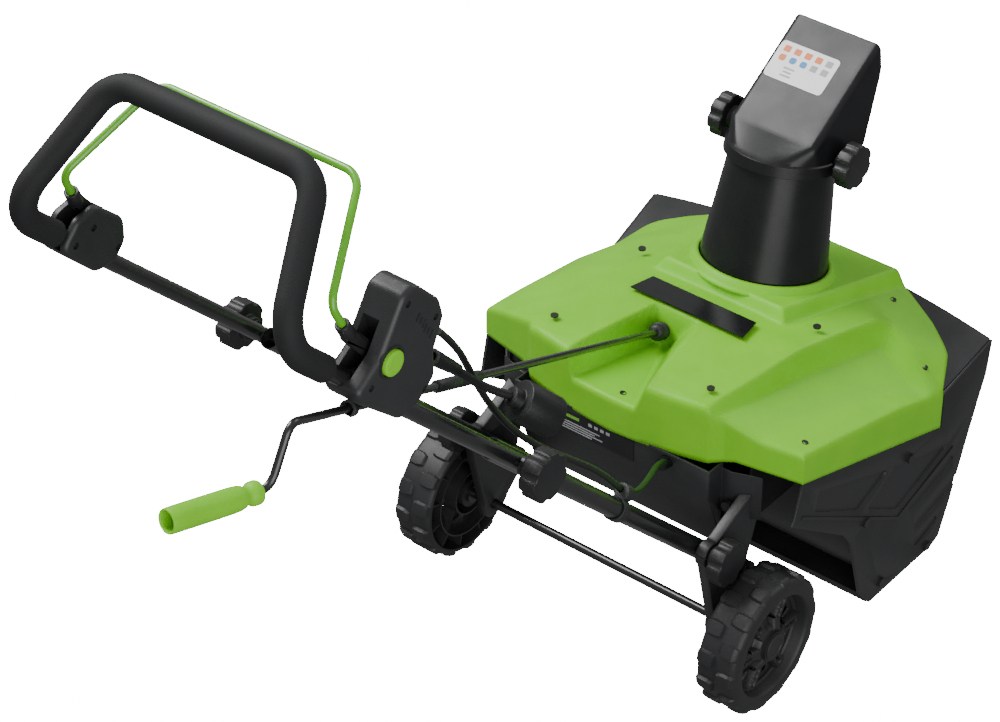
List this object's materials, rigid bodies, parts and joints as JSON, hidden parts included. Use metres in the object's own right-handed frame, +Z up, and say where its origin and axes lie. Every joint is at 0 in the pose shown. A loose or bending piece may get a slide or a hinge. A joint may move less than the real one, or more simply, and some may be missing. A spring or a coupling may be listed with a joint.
{
  "type": "snow thrower",
  "caption": "Walk-behind single-stage electric snow thrower with a turning discharge chute, tilting deflector, folding handle and a hand crank.",
  "frame": {"origin": "centre of the scraper bar's flat underside, on the ground", "axes": "+X to the operator's right, +Y the throwing direction, +Z up"},
  "size_m": [0.53, 1.3844, 1.0595],
  "materials": {
    "green_plastic": "moulded, satin",
    "black_plastic": "moulded, fine grain",
    "scraper_plastic": "plain",
    "tube_coat": "gloss powder coat",
    "green_coat": "gloss powder coat",
    "foam": "closed cell foam",
    "black_oxide": "black oxide on steel",
    "zinc": "zinc plated",
    "rotor_paint": "painted",
    "motor_steel": "plated can",
    "paddle_rubber": "moulded",
    "cord_rubber": "jacket",
    "pin_brass": "turned",
    "label_white": "film",
    "label_grey": "film",
    "badge": "gloss"
  },
  "bodies": {
    "hull": {"auger_housing": "black_plastic", "end_plates": "zinc", "side_panel_left": "black_plastic", "side_panel_right": "black_plastic", "scraper_bar": "scraper_plastic", "front_visor": "black_plastic", "top_cover": "green_plastic", "housing_screws": "black_oxide", "emblem_plate": "badge", "rear_skirt": "black_plastic", "rating_label": "label_grey", "motor_can": "motor_steel", "drive_belt": "paddle_rubber", "auger_bearings": "zinc", "wheel_axle": "tube_coat", "axle_brackets": "black_plastic", "lower_tubes": "tube_coat", "handle_bolts": "black_oxide", "cable_clip": "black_plastic", "cable_gland": "cord_rubber", "motor_lead_lower": "cord_rubber", "pinion_bracket": "black_plastic"},
    "motor_rotor": {"motor_rotor": "zinc"},
    "auger": {"auger_shaft": "zinc", "auger_rotor": "rotor_paint", "auger_paddles": "paddle_rubber", "auger_pulley": "black_plastic"},
    "wheel_l": {"wheel_left": "black_plastic"},
    "wheel_r": {"wheel_right": "black_plastic"},
    "handle": {"upper_tube": "tube_coat", "foam_grip": "foam", "pivot_pod_inner": "black_plastic", "pivot_pod_outer": "black_plastic", "switch_box_inner": "black_plastic", "switch_box_outer": "black_plastic", "micro_switch": "black_plastic", "pod_screws": "black_oxide", "crank_hook": "black_plastic", "supply_relief": "cord_rubber", "supply_lead": "cord_rubber", "supply_plug": "cord_rubber", "plug_pins": "pin_brass", "motor_lead_upper": "cord_rubber"},
    "bail": {"bail_levers": "black_plastic", "bail_rod": "green_coat"},
    "button": {"lock_button": "green_plastic"},
    "fold_knob_l": {"fold_knob_left": "black_plastic"},
    "fold_knob_r": {"fold_knob_right": "black_plastic"},
    "clamp_knob_l": {"clamp_knob_left": "black_plastic"},
    "clamp_knob_r": {"clamp_knob_right": "black_plastic"},
    "chute": {"chute_cone": "black_plastic", "tilt_bolts": "black_oxide"},
    "hood": {"deflector_hood": "black_plastic", "hood_label": "label_white"},
    "tilt_knob_l": {"tilt_knob_left": "black_plastic"},
    "tilt_knob_r": {"tilt_knob_right": "black_plastic"},
    "pinion": {"chute_pinion": "black_plastic"},
    "crank": {"crank_rod": "tube_coat", "crank_sleeve": "black_plastic"},
    "grip": {"crank_grip": "green_plastic"}
  },
  "joints": [
    {"name": "handle_fold", "type": "hinge", "parent": "hull", "child": "handle", "pos_m": [0, -0.652, 0.582], "axis": [-1, 0, 0], "range_deg": [0, 105]},
    {"name": "bail_pull", "type": "hinge", "parent": "handle", "child": "bail", "pos_m": [0, -0.878, 0.856], "axis": [1, 0, 0], "range_deg": [0, 18], "stiffness_Nm_per_rad": 4, "springref_deg": -11.46},
    {"name": "lock_button_press", "type": "slide", "parent": "handle", "child": "button", "axis": [-1, 0, 0], "range_m": [0, 0.005], "stiffness_N_per_m": 400, "springref_m": -0.002},
    {"name": "fold_knob_right_turn", "type": "hinge", "parent": "hull", "child": "fold_knob_r", "pos_m": [0.2, -0.652, 0.582], "axis": [1, 0, 0], "range_deg": [0, 720]},
    {"name": "fold_knob_left_turn", "type": "hinge", "parent": "hull", "child": "fold_knob_l", "pos_m": [-0.2, -0.652, 0.582], "axis": [-1, 0, 0], "range_deg": [0, 720]},
    {"name": "clamp_knob_right_turn", "type": "hinge", "parent": "hull", "child": "clamp_knob_r", "pos_m": [0.2, -0.285, 0.215], "axis": [1, 0, 0], "range_deg": [0, 720]},
    {"name": "clamp_knob_left_turn", "type": "hinge", "parent": "hull", "child": "clamp_knob_l", "pos_m": [-0.2, -0.285, 0.215], "axis": [-1, 0, 0], "range_deg": [0, 720]},
    {"name": "wheel_left_spin", "type": "hinge", "parent": "hull", "child": "wheel_l", "pos_m": [-0.236, -0.255, 0.093], "axis": [1, 0, 0], "continuous": true},
    {"name": "wheel_right_spin", "type": "hinge", "parent": "hull", "child": "wheel_r", "pos_m": [0.236, -0.255, 0.093], "axis": [1, 0, 0], "continuous": true},
    {"name": "auger_spin", "type": "hinge", "parent": "hull", "child": "auger", "pos_m": [0.015, 0.06, 0.118], "axis": [1, 0, 0], "continuous": true},
    {"name": "motor_spin", "type": "hinge", "parent": "hull", "child": "motor_rotor", "pos_m": [-0.224, -0.13, 0.265], "axis": [1, 0, 0], "continuous": true},
    {"name": "chute_turn", "type": "hinge", "parent": "hull", "child": "chute", "pos_m": [0, 0.072, 0.375], "axis": [0, 0.2021, 0.9794], "range_deg": [-95, 95]},
    {"name": "pinion_turn", "type": "hinge", "parent": "hull", "child": "pinion", "pos_m": [-0.024, -0.11, 0.35], "axis": [-0.1373, -0.9701, 0.2002], "range_deg": [-480, 480]},
    {"name": "crank_turn", "type": "hinge", "parent": "hull", "child": "crank", "pos_m": [-0.024, -0.11, 0.35], "axis": [0.2136, -0.8492, 0.483], "range_deg": [-480, 480]},
    {"name": "crank_grip_spin", "type": "hinge", "parent": "crank", "child": "grip", "pos_m": [0.20525, -1.05061, 0.81027], "axis": [-0.154, -0.9661, 0.207], "continuous": true},
    {"name": "hood_tilt", "type": "hinge", "parent": "chute", "child": "hood", "pos_m": [0, 0.111, 0.528], "axis": [-1, 0, 0], "range_deg": [0, 35]},
    {"name": "tilt_knob_right_turn", "type": "hinge", "parent": "chute", "child": "tilt_knob_r", "pos_m": [0.09, 0.111, 0.528], "axis": [1, 0, 0], "range_deg": [0, 720]},
    {"name": "tilt_knob_left_turn", "type": "hinge", "parent": "chute", "child": "tilt_knob_l", "pos_m": [-0.09, 0.111, 0.528], "axis": [-1, 0, 0], "range_deg": [0, 720]}
  ],
  "couplings": [
    {"joint": "motor_spin", "follows": "auger_spin", "ratio": 4.6054},
    {"joint": "pinion_turn", "follows": "chute_turn", "ratio": -5},
    {"joint": "crank_turn", "follows": "chute_turn", "ratio": -5}
  ]
}
